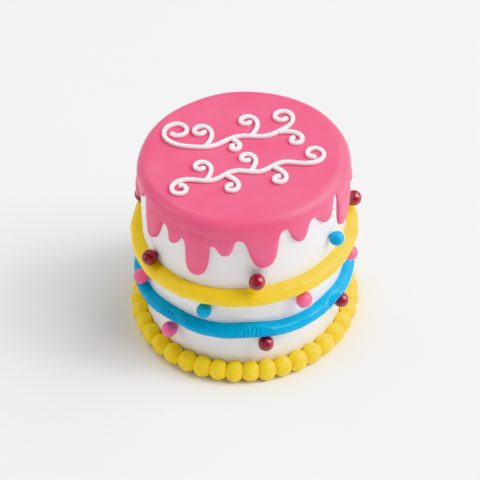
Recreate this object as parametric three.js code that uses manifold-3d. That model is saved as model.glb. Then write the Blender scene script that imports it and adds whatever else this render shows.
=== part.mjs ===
// A small fondant celebration cake: a white cylinder under a pink poured-look cap with drips,
// two fondant ropes round its side, a border of beads round its foot, pearls pressed to its side
// and piped scrollwork on top. Millimetres, +Z up, origin at the middle of the base.

import * as THREE from 'three';
import { mergeVertices } from 'three/addons/utils/BufferGeometryUtils.js';
import Module from 'manifold-3d';

const wasm = await Module();
wasm.setup();

// ---------- driving dimensions ----------

const SEGMENTS = 60;            // facets round the cake
const LEAN_X = 0.029;           // sideways drift of the hand-stacked cake per mm of height
const LEAN_Y = 0.015;

const WALL_RADIUS = 50.5;       // white fondant wall
const CROWN_RADIUS = 5.2;       // rounding of the wall into the top
const CROWN_STEPS = 3;          // facets up that rounding
const BODY_HEIGHT = 98.4;
const FIT_GAP = 0.1;            // clearance between touching pieces

const CAP_RADIUS = 51.7;        // pink cap, outside
const CAP_HEIGHT = 100.1;
const CAP_ROUNDING = 6.5;
const CAP_LOWEST = 60;          // below every drip
const CUT_MARGIN = 3;           // how far the cut that shapes the drips reaches past the cap

const YELLOW_ROPE = {
  name: 'yellow_rope',
  centreRadius: 52.1,           // section centre
  halfDepth: 4.7,
  halfHeight: 4.15,
  height: 54.0,                 // section centre above the base
  sway: [0.8, 0.9, 0.0, 0.6],   // cos, sin, cos 2, sin 2 of the angle round the cake
  markLift: 0,
};

const BLUE_ROPE = {
  name: 'blue_rope',
  centreRadius: 51.9,
  halfDepth: 4.2,
  halfHeight: 3.4,
  height: 30.6,
  sway: [0.2, 2.1, 0.6, -1.5],
  markLift: 1.4,                // how far each shell-tool mark pushes it up
};

const ROPE_STEPS = 8;           // facets across a rope's section
const SHELL_MARKS = [-156, -100, -44, 2, 51, 101, 153];   // degrees
const SHELL_MARK_SPREAD = 13;   // degrees

const BEAD = {
  count: 40,
  first: 1.35,                  // middle of one bead, in degrees
  ringRadius: 54.2,
  halfDepth: 4.7,
  halfHeight: 5.7,
  restFlat: 0.4,                // flattened where it stands
  crowding: 1.4,                // how far beads drift together and apart, in degrees
  crowdingWaves: 3,             // how many times they do so round the ring
  pressed: 0.5,                 // how far its swelling is squeezed in where two beads meet
  facets: 9,                    // round its section
  unevenness: 0.04,             // of its size, with the turn and scale that scatter it
  unevenTurn: 12.9898,
  unevenScale: 43758.5453,
  offset: [0.3, 0.4],           // the ring isn't quite centred on the cake
};

// The places across a bead where its section is set out, as shares of half its width. The first
// is the crease between it and the bead before.
const BEAD_STATIONS = [-1, -0.62, 0, 0.62];
const BEAD_GAP = 0.15;          // clearance of the beads' backs from the wall
const PEARL_FACE = 0.15;        // clearance of a pearl's socket in a rope

// Pearls: degrees round the side, height of the centre, radius and colour.
const PEARLS = [
  { at: -111.5, height: 59.4, radius: 4.0, colour: 'maroon' },
  { at: -58.7, height: 61.0, radius: 3.85, colour: 'maroon' },
  { at: 4.7, height: 66.6, radius: 4.0, colour: 'maroon' },
  { at: 53.1, height: 71.9, radius: 3.65, colour: 'blue' },
  { at: 93.0, height: 65.6, radius: 4.0, colour: 'maroon' },
  { at: 143.0, height: 67.5, radius: 3.8, colour: 'pink' },
  { at: -163.0, height: 64.5, radius: 3.65, colour: 'blue' },
  { at: -72.0, height: 37.6, radius: 3.85, colour: 'pink' },
  { at: -22.6, height: 45.1, radius: 3.65, colour: 'blue' },
  { at: 30.2, height: 46.6, radius: 4.0, colour: 'pink' },
  { at: 72.5, height: 47.0, radius: 3.85, colour: 'pink' },
  { at: 121.0, height: 45.5, radius: 3.85, colour: 'maroon' },
  { at: 172.0, height: 44.0, radius: 3.65, colour: 'blue' },
  { at: -128.0, height: 43.0, radius: 4.0, colour: 'maroon' },
  { at: -44.5, height: 22.0, radius: 3.9, colour: 'pink' },
  { at: 9.5, height: 24.5, radius: 3.9, colour: 'maroon' },
  { at: 61.0, height: 24.8, radius: 3.9, colour: 'maroon' },
  { at: 112.0, height: 22.5, radius: 3.65, colour: 'blue' },
  { at: 157.0, height: 23.5, radius: 3.85, colour: 'pink' },
  { at: -157.0, height: 21.5, radius: 3.9, colour: 'maroon' },
  { at: -112.0, height: 21.0, radius: 3.65, colour: 'blue' },
];

// The cap's lower edge, round the cake: each turn is the top of a gap or the tip of a drip, as
// degrees, height, and how far its round end reaches to the turn before and the turn after.
const DRIP_TURNS = [
  [-180.0, 92.5, 0.6, 0.6], [-171.5, 76.0, 0.7, 0.75], [-161.0, 90.5, 0.5, 0.5],
  [-154.5, 83.5, 0.6, 0.6], [-146.5, 93.0, 0.6, 0.5], [-136.0, 69.5, 0.9, 0.9],
  [-125.5, 89.0, 0.5, 0.5], [-118.5, 81.0, 0.7, 0.6], [-109.5, 92.5, 0.6, 0.6],
  [-100.0, 74.0, 0.8, 0.8], [-92.0, 91.0, 0.5, 0.5], [-86.0, 79.3, 0.6, 0.7],
  [-79.5, 90.5, 0.5, 0.4], [-74.5, 88.6, 0.6, 0.5], [-67.5, 94.4, 0.3, 0.6],
  [-63.8, 71.2, 1.0, 0.74], [-49.4, 88.7, 0.15, 1.1], [-42.9, 79.1, 0.9, 0.55],
  [-36.6, 85.6, 0.1, 0.7], [-29.0, 65.0, 1.25, 1.05], [-18.2, 85.8, 0.4, 0.4],
  [-11.8, 80.9, 0.7, 0.8], [-4.2, 90.5, 0.55, 0.45], [8.8, 72.8, 0.7, 1.0],
  [20.4, 93.6, 0.6, 0.35], [29.3, 83.3, 0.65, 0.65], [37.9, 93.5, 0.6, 0.2],
  [47.7, 85.6, 0.5, 1.0], [55.6, 96.2, 0.7, 0.4], [68.5, 71.0, 1.1, 0.8],
  [79.5, 91.5, 0.6, 0.5], [87.5, 82.0, 0.7, 0.6], [96.0, 92.0, 0.5, 0.6],
  [106.0, 68.5, 0.9, 0.9], [115.5, 89.5, 0.5, 0.4], [123.0, 79.5, 0.7, 0.7],
  [131.0, 93.5, 0.6, 0.6], [141.0, 74.5, 0.8, 0.8], [150.5, 90.0, 0.5, 0.5],
  [157.5, 82.5, 0.6, 0.7], [166.0, 91.5, 0.6, 0.5], [173.0, 85.0, 0.6, 0.6],
  [180.0, 92.5, 0.6, 0.6],
];
const STEPS_PER_TURN = 5;

// Piped scrollwork: two vines on the cap, each a waving stem that ends in curls, with tendrils.
const PIPING = {
  halfWidth: 1.15,
  height: 2.0,
  sides: 5,
  lift: 0.05,                   // clear of the cap
  facetTurn: 27,                // a stroke's facets bend by at most this, in degrees
  facetLength: 5,               // and are at most this long
  pathSteps: 400,               // along a path, before its facets are set out
  stemSpread: 0.9,              // a stem's end curl bends harder towards its end by this power
  tendrilSpread: 1.3,           // and so does a tendril
};

// Lengths are in mm and turns in degrees. A tendril leaves the stem at a share of its length, to
// one side of it, and branch is the angle between them.
const VINES = [
  {
    name: 'scroll_upper',
    start: [-23, 4.5],
    tilt: 13,
    length: 42,
    swing: -1.8,
    waves: 1.5,
    tail: { length: 50, turn: -420 },
    tip: { length: 35, turn: 400 },
    tendrils: [
      { at: 0.10, side: 1, length: 33, turn: 400, branch: 48 },
      { at: 0.42, side: -1, length: 17, turn: 350, branch: 50 },
      { at: 0.66, side: 1, length: 31, turn: 390, branch: 48 },
      { at: 0.97, side: -1, length: 27, turn: 370, branch: 12 },
    ],
  },
  {
    name: 'scroll_lower',
    start: [-22, -20],
    tilt: 12,
    length: 47,
    swing: -1.8,
    waves: 2,
    tail: { length: 32, turn: 400 },
    tip: { length: 36, turn: 400 },
    tendrils: [
      { at: 0.07, side: 1, length: 28, turn: 380, branch: 52 },
      { at: 0.27, side: -1, length: 24, turn: 370, branch: 45 },
      { at: 0.53, side: 1, length: 26, turn: 380, branch: 48 },
      { at: 0.76, side: -1, length: 24, turn: 370, branch: 45 },
    ],
  },
];

// ---------- materials ----------

function fondant(colour, roughness) {
  return new THREE.MeshStandardMaterial({ color: colour, roughness, metalness: 0 });
}

const FINISHES = {
  white: fondant(0xf1efed, 0.62),
  pinkCap: fondant(0xf56c93, 0.5),
  yellow: fondant(0xf4cf33, 0.5),
  sky: fondant(0x0d9ccc, 0.5),
  maroon: fondant(0x7d1826, 0.18),
  pink: fondant(0xf06c98, 0.3),
  blue: fondant(0x0fa0cf, 0.3),
  icing: fondant(0xf7f6f4, 0.45),
};

// ---------- helpers ----------

const radians = THREE.MathUtils.degToRad;

// A point on the side: degrees from the front, towards +X.
function onSide(degrees, radius, height) {
  const angle = radians(degrees);
  return new THREE.Vector3(radius * Math.sin(angle), -radius * Math.cos(angle), height);
}

// Only positions matter to a solid, with each corner shared by its faces.
function weld(geometry) {
  geometry.deleteAttribute('normal');
  geometry.deleteAttribute('uv');
  return mergeVertices(geometry, 1e-4);
}

function toSolid(geometry) {
  const welded = weld(geometry);
  return new wasm.Manifold(new wasm.Mesh({
    numProp: 3,
    vertProperties: new Float32Array(welded.attributes.position.array),
    triVerts: new Uint32Array(welded.index.array),
  }));
}

function toGeometry(solid) {
  const mesh = solid.getMesh();
  const geometry = new THREE.BufferGeometry();
  geometry.setAttribute('position', new THREE.BufferAttribute(mesh.vertProperties, 3));
  geometry.setIndex(new THREE.BufferAttribute(mesh.triVerts, 1));
  return geometry;
}

function join(solids) {
  return solids.reduce((whole, solid) => whole.add(solid));
}

// A solid of revolution about +Z from radius and height pairs; its seam is at the front.
function turned(profile, segments = SEGMENTS) {
  const points = profile.map(([radius, height]) => new THREE.Vector2(radius, height));
  return weld(new THREE.LatheGeometry(points, segments).rotateX(Math.PI / 2));
}

// A quarter arc in the radius-height plane, from the wall up into the top.
function crownArc(centreRadius, centreHeight, arcRadius) {
  return Array.from({ length: CROWN_STEPS + 1 }, (_, i) => {
    const angle = (i / CROWN_STEPS) * Math.PI / 2;
    return [centreRadius + arcRadius * Math.cos(angle), centreHeight + arcRadius * Math.sin(angle)];
  });
}

// ---------- body and cap ----------

function cakeBody() {
  const centre = WALL_RADIUS - CROWN_RADIUS;
  const crown = crownArc(centre, BODY_HEIGHT - CROWN_RADIUS, CROWN_RADIUS);
  return turned([[0, 0], [WALL_RADIUS, 0], ...crown, [0, BODY_HEIGHT]]);
}

function capShell() {
  const outer = crownArc(CAP_RADIUS - CAP_ROUNDING, CAP_HEIGHT - CAP_ROUNDING, CAP_ROUNDING);
  const innerRounding = CROWN_RADIUS + FIT_GAP;
  const inner = crownArc(WALL_RADIUS - CROWN_RADIUS, BODY_HEIGHT - CROWN_RADIUS, innerRounding);
  return turned([
    [0, BODY_HEIGHT + FIT_GAP], ...inner.reverse(), [WALL_RADIUS + FIT_GAP, CAP_LOWEST],
    [CAP_RADIUS, CAP_LOWEST], ...outer, [0, CAP_HEIGHT],
  ]);
}

// The cap's lower edge as degrees and heights: each stretch between two turns is a curve that
// runs level at both ends, so that tips and gaps are round and the sides of a drip are steep.
function dripEdge() {
  const edge = [];
  for (let i = 0; i + 1 < DRIP_TURNS.length; i += 1) {
    const [fromAngle, fromHeight, , reachOut] = DRIP_TURNS[i];
    const [toAngle, toHeight, reachIn] = DRIP_TURNS[i + 1];
    const span = toAngle - fromAngle;
    const curve = new THREE.CubicBezierCurve(
      new THREE.Vector2(fromAngle, fromHeight),
      new THREE.Vector2(fromAngle + reachOut * span, fromHeight),
      new THREE.Vector2(toAngle - reachIn * span, toHeight),
      new THREE.Vector2(toAngle, toHeight),
    );
    for (let step = 0; step < STEPS_PER_TURN; step += 1) {
      edge.push(curve.getPoint(step / STEPS_PER_TURN));
    }
  }
  return edge;
}

// The space under the drips: a ring wall from below the cap up to the drip edge.
function underDrips() {
  const insideRadius = WALL_RADIUS - CUT_MARGIN;
  const outsideRadius = CAP_RADIUS + CUT_MARGIN;
  const foot = CAP_LOWEST - CUT_MARGIN;
  const edge = dripEdge();
  const corners = [];
  for (const { x: degrees, y: height } of edge) {
    corners.push(
      onSide(degrees, insideRadius, foot),
      onSide(degrees, outsideRadius, foot),
      onSide(degrees, outsideRadius, height),
      onSide(degrees, insideRadius, height),
    );
  }
  const faces = [];
  for (let i = 0; i < edge.length; i += 1) {
    const here = 4 * i;
    const next = 4 * ((i + 1) % edge.length);
    for (let side = 0; side < 4; side += 1) {
      const other = (side + 1) % 4;
      faces.push(here + side, next + side, next + other, here + side, next + other, here + other);
    }
  }
  const geometry = new THREE.BufferGeometry().setFromPoints(corners);
  geometry.setIndex(faces);
  return geometry;
}

function dripCap() {
  return toGeometry(toSolid(capShell()).subtract(toSolid(underDrips())));
}

// ---------- ropes ----------

// How far a rope is lifted at an angle round the cake by its sway and its shell-tool marks.
function ropeLift(rope, degrees) {
  const angle = radians(degrees);
  const [cos1, sin1, cos2, sin2] = rope.sway;
  const sway = cos1 * Math.cos(angle) + sin1 * Math.sin(angle)
    + cos2 * Math.cos(2 * angle) + sin2 * Math.sin(2 * angle);
  const marks = SHELL_MARKS.map((mark) => {
    const away = Math.abs(degrees - mark);
    return Math.exp(-((Math.min(away, 360 - away) / SHELL_MARK_SPREAD) ** 2));
  });
  return sway + rope.markLift * Math.max(...marks);
}

// An ellipse with its back cut flat along the wall.
function ropeSection({ centreRadius, halfDepth, halfHeight, height }) {
  const wallAngle = Math.acos((WALL_RADIUS + FIT_GAP - centreRadius) / halfDepth);
  const section = Array.from({ length: ROPE_STEPS + 1 }, (_, i) => {
    const angle = wallAngle * ((2 * i) / ROPE_STEPS - 1);
    return [centreRadius + halfDepth * Math.cos(angle), height + halfHeight * Math.sin(angle)];
  });
  return [...section, section[0]];
}

function ropeBlank(rope) {
  const geometry = turned(ropeSection(rope));
  const position = geometry.attributes.position;
  for (let i = 0; i < position.count; i += 1) {
    const degrees = THREE.MathUtils.radToDeg(Math.atan2(position.getX(i), -position.getY(i)));
    position.setZ(i, position.getZ(i) + ropeLift(rope, degrees));
  }
  return geometry;
}

// A rope is dented wherever a pearl is pressed against it.
function rope(spec) {
  const sockets = PEARLS.map((pearl) => toSolid(pearlBall(pearl, PEARL_FACE)));
  const blank = toSolid(ropeBlank(spec));
  return toGeometry(sockets.reduce((solid, socket) => solid.subtract(socket), blank));
}

// ---------- beads and pearls ----------

function pearlBall(pearl, extra = 0) {
  const centre = onSide(pearl.at, WALL_RADIUS + FIT_GAP + pearl.radius, pearl.height);
  const ball = new THREE.IcosahedronGeometry(pearl.radius + extra, 1);
  return ball.translate(centre.x, centre.y, centre.z);
}

// A repeatable value from -1 to 1 for each bead, from the last digits of a large number.
function uneven(index) {
  const wave = Math.sin(index * BEAD.unevenTurn) * BEAD.unevenScale;
  return 2 * (wave - Math.floor(wave)) - 1;
}

// The angle of the crease before a bead.
function crease(index) {
  const even = BEAD.first + (360 / BEAD.count) * (index - 0.5);
  return even - BEAD.crowding * Math.sin(radians(BEAD.crowdingWaves * even));
}

// The beads stick to one another in a ring, each swelling between two creases. Their feet are
// flat and their backs follow the wall.
function beadBorder() {
  const profile = Array.from({ length: BEAD.facets + 1 }, (_, i) => {
    const angle = (i / BEAD.facets) * 2 * Math.PI;
    return [BEAD.ringRadius + Math.cos(angle), Math.sin(angle)];
  });
  const stations = BEAD_STATIONS.length;
  const ring = turned(profile, BEAD.count * stations);
  const position = ring.attributes.position;
  const pitch = 360 / BEAD.count;
  const offset = new THREE.Vector3(...BEAD.offset, 0);
  for (let i = 0; i < position.count; i += 1) {
    const x = position.getX(i);
    const y = position.getY(i);
    const turn = (THREE.MathUtils.radToDeg(Math.atan2(x, -y)) + 360) % 360;
    const station = Math.round((turn / pitch) * stations) % (BEAD.count * stations);
    const index = Math.floor(station / stations);
    const across = BEAD_STATIONS[station % stations];
    const squeeze = Math.sqrt(1 - BEAD.pressed * across ** 2);
    const grow = across === -1 ? 1 : 1 + BEAD.unevenness * uneven(index);
    const out = (Math.hypot(x, y) - BEAD.ringRadius) * BEAD.halfDepth * squeeze * grow;
    const up = position.getZ(i) * BEAD.halfHeight * squeeze * grow;
    const height = Math.max(BEAD.halfHeight - BEAD.restFlat + up, 0);
    const degrees = THREE.MathUtils.lerp(crease(index), crease(index + 1), (across + 1) / 2);
    const place = onSide(degrees, BEAD.ringRadius + out, height).add(offset);
    const reach = Math.max((WALL_RADIUS + BEAD_GAP) / Math.hypot(place.x, place.y), 1);
    position.setXYZ(i, place.x * reach, place.y * reach, place.z);
  }
  return ring;
}

// ---------- scrollwork ----------

// Keeps of a path's close points only those that become the corners of a stroke's facets.
function thin(path) {
  const corners = [path[0]];
  let last = path[0];
  for (const here of path.slice(1, -1)) {
    const bent = Math.abs(here.heading - last.heading);
    const gone = Math.hypot(here.x - last.x, here.y - last.y);
    if (bent >= radians(PIPING.facetTurn) || gone >= PIPING.facetLength) {
      corners.push(here);
      last = here;
    }
  }
  return [...corners, path[path.length - 1]];
}

// A curl leaves a point along a heading and bends ever more tightly until it has turned fully.
function curlPath({ x, y, heading }, length, turn, spread) {
  const steps = PIPING.pathSteps;
  const bend = (radians(turn) * (spread + 1)) / length;
  const stride = length / steps;
  const path = [{ x, y, heading }];
  for (let i = 0; i < steps; i += 1) {
    const last = path[i];
    const angle = last.heading + bend * ((i + 0.5) / steps) ** spread * stride;
    path.push({
      x: last.x + Math.cos(angle) * stride,
      y: last.y + Math.sin(angle) * stride,
      heading: angle,
    });
  }
  return path;
}

// The place and heading at a share of a vine's waving stem.
function stemPoint(vine, share) {
  const phase = 2 * Math.PI * vine.waves;
  const along = share * vine.length;
  const across = vine.swing * Math.sin(phase * share);
  const slope = (vine.swing * phase / vine.length) * Math.cos(phase * share);
  const tilt = radians(vine.tilt);
  return {
    x: vine.start[0] + Math.cos(tilt) * along - Math.sin(tilt) * across,
    y: vine.start[1] + Math.sin(tilt) * along + Math.cos(tilt) * across,
    heading: tilt + Math.atan(slope),
  };
}

function stemPath(vine) {
  const { tail, tip } = vine;
  const root = stemPoint(vine, 0);
  const tailCurl = curlPath(
    { ...root, heading: root.heading + Math.PI }, tail.length, tail.turn, PIPING.stemSpread);
  const backwards = tailCurl.map(({ x, y, heading }) => ({ x, y, heading: heading - Math.PI }));
  const tipCurl = curlPath(stemPoint(vine, 1), tip.length, tip.turn, PIPING.stemSpread);
  const steps = PIPING.pathSteps;
  const middle = Array.from({ length: steps - 1 }, (_, i) => stemPoint(vine, (i + 1) / steps));
  return thin([...backwards.reverse(), ...middle, ...tipCurl]);
}

function tendrilPath(vine, { at, side, length, turn, branch }) {
  const heading = radians(vine.tilt + branch * side);
  return thin(curlPath({ ...stemPoint(vine, at), heading }, length, turn * side, PIPING.tendrilSpread));
}

// A curve that is stepped evenly from corner to corner, however far apart they are.
class CorneredCurve extends THREE.CatmullRomCurve3 {
  getUtoTmapping(share) {
    return share;
  }
}

// One piped stroke: a half-round section along a level path.
function stroke(path) {
  const level = CAP_HEIGHT + PIPING.lift;
  const curve = new CorneredCurve(path.map(({ x, y }) => new THREE.Vector3(x, y, level)));
  const section = new THREE.Shape();
  for (let i = 0; i < PIPING.sides; i += 1) {
    const angle = (i / (PIPING.sides - 1)) * Math.PI;
    const across = PIPING.halfWidth * Math.cos(angle);
    const up = PIPING.height * Math.sin(angle);
    section[i === 0 ? 'moveTo' : 'lineTo'](-up, across);
  }
  section.closePath();
  return new THREE.ExtrudeGeometry(section, {
    steps: path.length - 1,
    bevelEnabled: false,
    extrudePath: curve,
  });
}

function scroll(vine) {
  const strokes = [stemPath(vine), ...vine.tendrils.map((tendril) => tendrilPath(vine, tendril))];
  return toGeometry(join(strokes.map((path) => toSolid(stroke(path)))));
}

// ---------- the cake ----------

const cake = new THREE.Group();
const lean = new THREE.Matrix4().set(1, 0, LEAN_X, 0, 0, 1, LEAN_Y, 0, 0, 0, 1, 0, 0, 0, 0, 1);

function place(name, geometry, material) {
  geometry.applyMatrix4(lean);
  const mesh = new THREE.Mesh(geometry, material);
  mesh.name = name;
  cake.add(mesh);
}

place('cake_body', cakeBody(), FINISHES.white);
place('drip_cap', dripCap(), FINISHES.pinkCap);
place(YELLOW_ROPE.name, rope(YELLOW_ROPE), FINISHES.yellow);
place(BLUE_ROPE.name, rope(BLUE_ROPE), FINISHES.sky);
place('bead_border', beadBorder(), FINISHES.yellow);
PEARLS.forEach((pearl, index) => {
  const number = String(index + 1).padStart(2, '0');
  place(`pearl_${number}_${pearl.colour}`, weld(pearlBall(pearl)), FINISHES[pearl.colour]);
});
VINES.forEach((vine) => place(vine.name, scroll(vine), FINISHES.icing));

export default cake;
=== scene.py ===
"""Dresses a small fondant celebration cake: its covering, drip cap, ropes, beads, pearls and icing.

Each sub-assembly is a class that holds its sizes in millimetres, in the upright cake's own frame:
+Z up from the middle of the base, -Y the front. Its points are leaned with the cake and turned to
metres as its mesh is made.
"""

import logging
import math
from dataclasses import dataclass, field
from enum import Enum

import bmesh
import bpy
import numpy as np
from mathutils import Matrix, Vector
from mathutils.geometry import delaunay_2d_cdt
from mathutils.kdtree import KDTree


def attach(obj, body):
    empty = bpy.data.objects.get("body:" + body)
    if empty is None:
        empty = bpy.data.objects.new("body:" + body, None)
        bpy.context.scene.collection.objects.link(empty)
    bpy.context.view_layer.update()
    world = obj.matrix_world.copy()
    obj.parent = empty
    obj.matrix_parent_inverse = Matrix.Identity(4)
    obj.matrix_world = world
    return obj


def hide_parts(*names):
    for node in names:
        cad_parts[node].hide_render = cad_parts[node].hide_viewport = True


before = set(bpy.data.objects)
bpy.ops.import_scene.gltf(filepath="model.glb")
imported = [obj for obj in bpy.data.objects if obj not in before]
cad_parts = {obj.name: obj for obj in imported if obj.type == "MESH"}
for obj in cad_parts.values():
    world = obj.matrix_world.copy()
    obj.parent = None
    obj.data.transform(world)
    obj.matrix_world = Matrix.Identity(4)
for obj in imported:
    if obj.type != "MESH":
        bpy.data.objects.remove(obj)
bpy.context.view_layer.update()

log = logging.getLogger("cake")

MM = 0.001                      # metres
LEAN_X = 0.029                  # sideways drift of the hand-stacked cake per mm of height
LEAN_Y = 0.015
SUNK = 0.15                     # how far pieces are pressed into what carries them, mm
CLOUD_LOW = 0.35                # the middle range of a noise, which makes up most of it
CLOUD_HIGH = 0.65
INSIDE_OUTLINE = 1              # the triangles that a triangulation keeps
MERGE_GAP = 1e-7                # how near, mm, it takes two points for one

Values = float | np.ndarray
Colour = tuple[float, float, float, float]
Faces = list[tuple[int, ...]]


# ---------- points, grids and pieces ----------


def on_side(degrees: Values, radius: Values, height: Values) -> np.ndarray:
    """Places points round the cake.

    Args:
        degrees: Angles round the cake from the front, towards +X.
        radius: Distances from the axis, mm.
        height: Heights above the base, mm.

    Returns:
        One row of x, y and z for each point, mm.
    """
    angle = np.radians(degrees)
    return np.stack(np.broadcast_arrays(radius * np.sin(angle), -radius * np.cos(angle), height), -1)


def stand(points: np.ndarray) -> np.ndarray:
    """Leans upright points with the cake and turns millimetres to metres.

    Args:
        points: Rows of x, y and z, mm.

    Returns:
        Rows of x, y and z, metres.
    """
    drift = points[..., 2:] * np.array([LEAN_X, LEAN_Y, 0.0])
    return (points + drift) * MM


def turned_from(degrees: Values, place: float) -> Values:
    """Gives how far angles lie from a place, from -180 to 180 degrees."""
    return (degrees - place + 180.0) % 360.0 - 180.0


def smooth_step(low: float, high: float, value: Values) -> Values:
    """Rises softly from 0 at low to 1 at high, or falls where high is below low.

    Args:
        low: The value that gives 0.
        high: The value that gives 1.
        value: The values to weigh.

    Returns:
        A weight from 0 to 1 for each value.
    """
    share = np.clip((value - low) / (high - low), 0.0, 1.0)
    return share * share * (3.0 - 2.0 * share)


def rounded_section(turn: np.ndarray, squareness: float) -> tuple[np.ndarray, np.ndarray]:
    """Draws a section that is fuller than an ellipse towards its corners.

    Args:
        turn: Angles round the section, radians.
        squareness: 2 gives an ellipse, and more comes nearer a box.

    Returns:
        How far across and how far up each angle lies, from -1 to 1.
    """
    power = 2.0 / squareness
    across, up = (np.sign(part) * np.abs(part) ** power for part in (np.cos(turn), np.sin(turn)))
    return across, up


def distances(points: np.ndarray) -> np.ndarray:
    """Gives how far along a path each of its points lies, from its first one."""
    return np.concatenate([[0.0], np.cumsum(np.linalg.norm(np.diff(points, axis=0), axis=1))])


def read_path(path: np.ndarray, along: np.ndarray, places: np.ndarray) -> np.ndarray:
    """Reads a path at places along it.

    Args:
        path: The path's rows.
        along: How far along it each row lies.
        places: How far along it to read.

    Returns:
        One row for each place.
    """
    return np.stack([np.interp(places, along, column) for column in path.T], axis=-1)


def grid_faces(rows: int, columns: int, ring: bool = False) -> Faces:
    """Lists the quads of a grid whose rows close on themselves.

    Args:
        rows: Rows of points.
        columns: Points in each row, which is a closed loop.
        ring: Whether the last row joins the first one.

    Returns:
        The corner numbers of each quad.
    """
    faces = []
    for row in range(rows if ring else rows - 1):
        here = row * columns
        there = ((row + 1) % rows) * columns
        for column in range(columns):
            beside = (column + 1) % columns
            faces.append((here + column, here + beside, there + beside, there + column))
    return faces


def capped_faces(rows: int, columns: int) -> Faces:
    """Lists the faces of a closed skin: a grid of closed rows between two end points.

    Args:
        rows: Rows of points.
        columns: Points in each row.

    Returns:
        The corner numbers of each face. The first end point comes after the grid, then the last.
    """
    first, last = rows * columns, rows * columns + 1
    faces = grid_faces(rows, columns)
    for column in range(columns):
        beside = (column + 1) % columns
        faces.append((first, beside, column))
        faces.append((last, last - 1 - columns + column, last - 1 - columns + beside))
    return faces


@dataclass(frozen=True)
class Ripple:
    """The soft unevenness of hand-worked paste, as waves that cross in seeded directions."""

    depth: float
    length: float
    seed: int
    waves: int = 9
    uneven: tuple[float, float] = (0.7, 1.5)    # the waves' shortest and longest, as shares

    def at(self, points: np.ndarray) -> np.ndarray:
        """Reads the ripple.

        Args:
            points: Rows of x, y and z, mm.

        Returns:
            How far each point stands proud, mm.
        """
        draw = np.random.default_rng(self.seed)
        directions = draw.normal(size=(self.waves, 3))
        directions /= np.linalg.norm(directions, axis=1, keepdims=True)
        lengths = self.length * draw.uniform(*self.uneven, self.waves)
        phases = draw.uniform(0.0, 2.0 * math.pi, self.waves)
        turns = points @ (2.0 * math.pi * directions / lengths[:, None]).T + phases
        return self.depth * np.sin(turns).sum(-1) / math.sqrt(self.waves)


def make_piece(
    name: str, points: np.ndarray, faces: Faces, finish: "Finish", nodes: tuple[str, ...]
) -> bpy.types.Object:
    """Makes a smooth mesh piece, dresses it and says which CAD nodes it stands for.

    Args:
        name: The piece's name.
        points: Rows of x, y and z of the upright cake, mm.
        faces: The corner numbers of each face.
        finish: The finish that the piece wears.
        nodes: The CAD nodes that it replaces.

    Returns:
        The new object, riding on the cake's body.
    """
    mesh = bpy.data.meshes.new(name)
    mesh.from_pydata(stand(points).tolist(), [], faces)
    worked = bmesh.new()
    worked.from_mesh(mesh)
    bmesh.ops.recalc_face_normals(worked, faces=worked.faces)
    worked.to_mesh(mesh)
    worked.free()
    mesh.shade_smooth()
    mesh.materials.append(finish.material())
    piece = bpy.data.objects.new(name, mesh)
    bpy.context.scene.collection.objects.link(piece)
    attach(piece, "root")
    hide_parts(*nodes)
    log.info("%s: %d faces, in place of %s", name, len(mesh.polygons), ", ".join(nodes))
    return piece


# ---------- finishes ----------


def linear(code: str) -> Colour:
    """Turns an sRGB hex colour to the linear values that a shader takes.

    Args:
        code: Six hex digits.

    Returns:
        Red, green, blue and an alpha of 1.
    """
    parts = [int(code[i:i + 2], 16) / 255 for i in (0, 2, 4)]
    red, green, blue = (p / 12.92 if p <= 0.04045 else ((p + 0.055) / 1.055) ** 2.4 for p in parts)
    return red, green, blue, 1.0


def add_node(
    tree: bpy.types.NodeTree,
    kind: str,
    settings: dict[str, object] | None = None,
    inputs: dict[str | int, object] | None = None,
) -> bpy.types.Node:
    """Adds a node with its settings, values and links.

    Args:
        tree: The node tree that it joins.
        kind: Its Blender type.
        settings: Its properties.
        inputs: For each input, by name or number, a value or the socket that feeds it.

    Returns:
        The new node.
    """
    node = tree.nodes.new(kind)
    for name, value in (settings or {}).items():
        setattr(node, name, value)
    for name, value in (inputs or {}).items():
        if isinstance(value, bpy.types.NodeSocket):
            tree.links.new(value, node.inputs[name])
        else:
            node.inputs[name].default_value = value
    return node


@dataclass(frozen=True)
class Grain:
    """One layer of a relief too low for the mesh: its features' size and depth, mm."""

    size: float
    depth: float
    detail: float = 2.0         # how many finer layers its features have


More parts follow.
